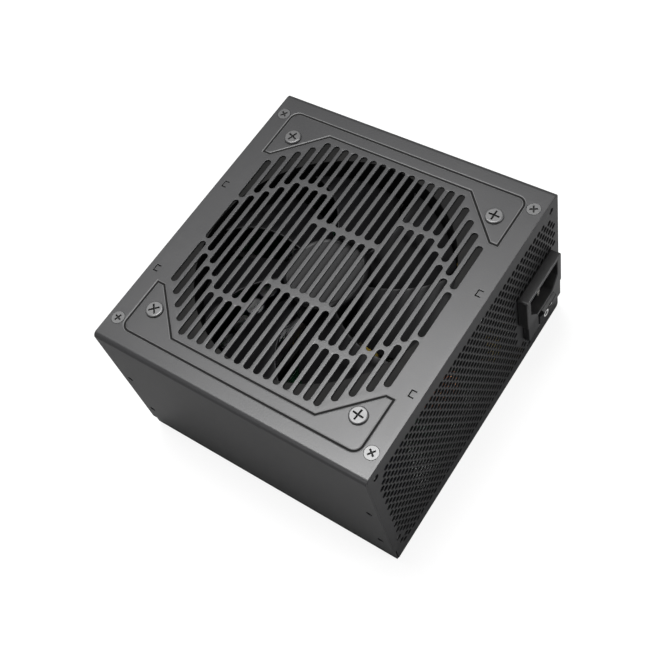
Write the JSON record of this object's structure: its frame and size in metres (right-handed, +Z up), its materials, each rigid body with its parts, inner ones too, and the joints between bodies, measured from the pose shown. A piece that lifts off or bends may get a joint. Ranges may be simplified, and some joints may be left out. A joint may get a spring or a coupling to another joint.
{
  "type": "power supply unit",
  "caption": "Box-shaped computer power supply with a slotted fan grille on top, a honeycomb mains panel with inlet and rocker switch, and output sockets behind.",
  "frame": {"origin": "centre of the base's flat underside", "axes": "+Z up towards the fan grille, -Y out of the mains panel, +Y out of the output sockets, +X to the right when facing the mains panel"},
  "size_m": [0.15, 0.1461, 0.0872],
  "materials": {
    "case_paint": "satin powder coat",
    "screw_steel": "dark nickel plate",
    "insulation": "thin polyester film",
    "circuit_board": "green solder resist",
    "standoff_brass": "turned",
    "frame_plastic": "moulded glass-filled plastic",
    "blade_plastic": "moulded, polished",
    "steel": "pressed steel",
    "ferrite": "matt ferrite",
    "bronze": "sintered bronze",
    "copper": "enamelled copper wire",
    "cable_black": "flexible lead",
    "white_plastic": "moulded nylon",
    "inlet_plastic": "fine textured plastic",
    "rocker_plastic": "smooth moulded plastic",
    "mark_white": "printed white",
    "contact_metal": "tinned contacts",
    "film_yellow": "moulded film capacitor",
    "disc_blue": "dipped ceramic",
    "fuse_glass": "ceramic tube",
    "package_black": "epoxy package",
    "heat_sink": "extruded aluminium",
    "can_sleeve": "sleeved aluminium can",
    "relay_blue": "moulded case",
    "tape_yellow": "polyester tape",
    "bare_copper": "punched copper bar",
    "socket_plastic": "moulded nylon",
    "contact_gold": "gold-flashed contacts"
  },
  "bodies": {
    "case": {"top_cover": "case_paint", "floor_tray": "case_paint", "mains_panel": "case_paint", "output_panel": "case_paint", "cover_screws": "screw_steel", "fan_screws": "screw_steel", "insulation_sheet": "insulation", "standoffs": "standoff_brass", "main_board": "circuit_board", "board_screws": "screw_steel", "fan_frame": "frame_plastic", "bearing_sleeve": "bronze", "stator_core": "steel", "stator_coils": "copper", "fan_circuit": "circuit_board", "fan_lead": "cable_black", "fan_plug": "white_plastic", "fan_header": "white_plastic", "inlet_housing": "inlet_plastic", "inlet_pins": "contact_metal", "switch_housing": "inlet_plastic", "switch_terminals": "contact_metal", "inlet_board": "circuit_board", "mains_filter_cap": "film_yellow", "safety_caps": "disc_blue", "fuse": "fuse_glass", "choke_cores": "ferrite", "choke_windings": "copper", "bridge_rectifier": "package_black", "primary_heat_sink": "heat_sink", "primary_transistors": "package_black", "transistor_screws": "screw_steel", "boost_choke_core": "ferrite", "boost_choke_winding": "copper", "bulk_capacitor": "can_sleeve", "thermistor": "disc_blue", "relay": "relay_blue", "transformer_core": "ferrite", "transformer_winding": "tape_yellow", "standby_transformer": "tape_yellow", "resonant_choke": "ferrite", "control_board": "circuit_board", "secondary_heat_sink": "heat_sink", "secondary_transistors": "package_black", "output_capacitors": "can_sleeve", "converter_board": "circuit_board", "busbars": "bare_copper", "modular_board": "circuit_board", "main_socket": "socket_plastic", "eight_pin_sockets": "socket_plastic", "six_pin_sockets": "socket_plastic", "socket_pins": "contact_gold"},
    "rotor": {"fan_rotor": "blade_plastic", "rotor_yoke": "steel", "rotor_magnet": "ferrite", "fan_shaft": "steel", "shaft_clip": "white_plastic"},
    "rocker": {"rocker": "rocker_plastic", "rocker_marks": "mark_white"}
  },
  "joints": [
    {"name": "fan_spin", "type": "hinge", "parent": "case", "child": "rotor", "pos_m": [0, 0, 0.0725], "axis": [0, 0, 1], "continuous": true},
    {"name": "switch_rock", "type": "hinge", "parent": "case", "child": "rocker", "pos_m": [0.056, -0.0698, 0.02515], "axis": [-1, 0, 0], "range_deg": [0, 24]}
  ]
}
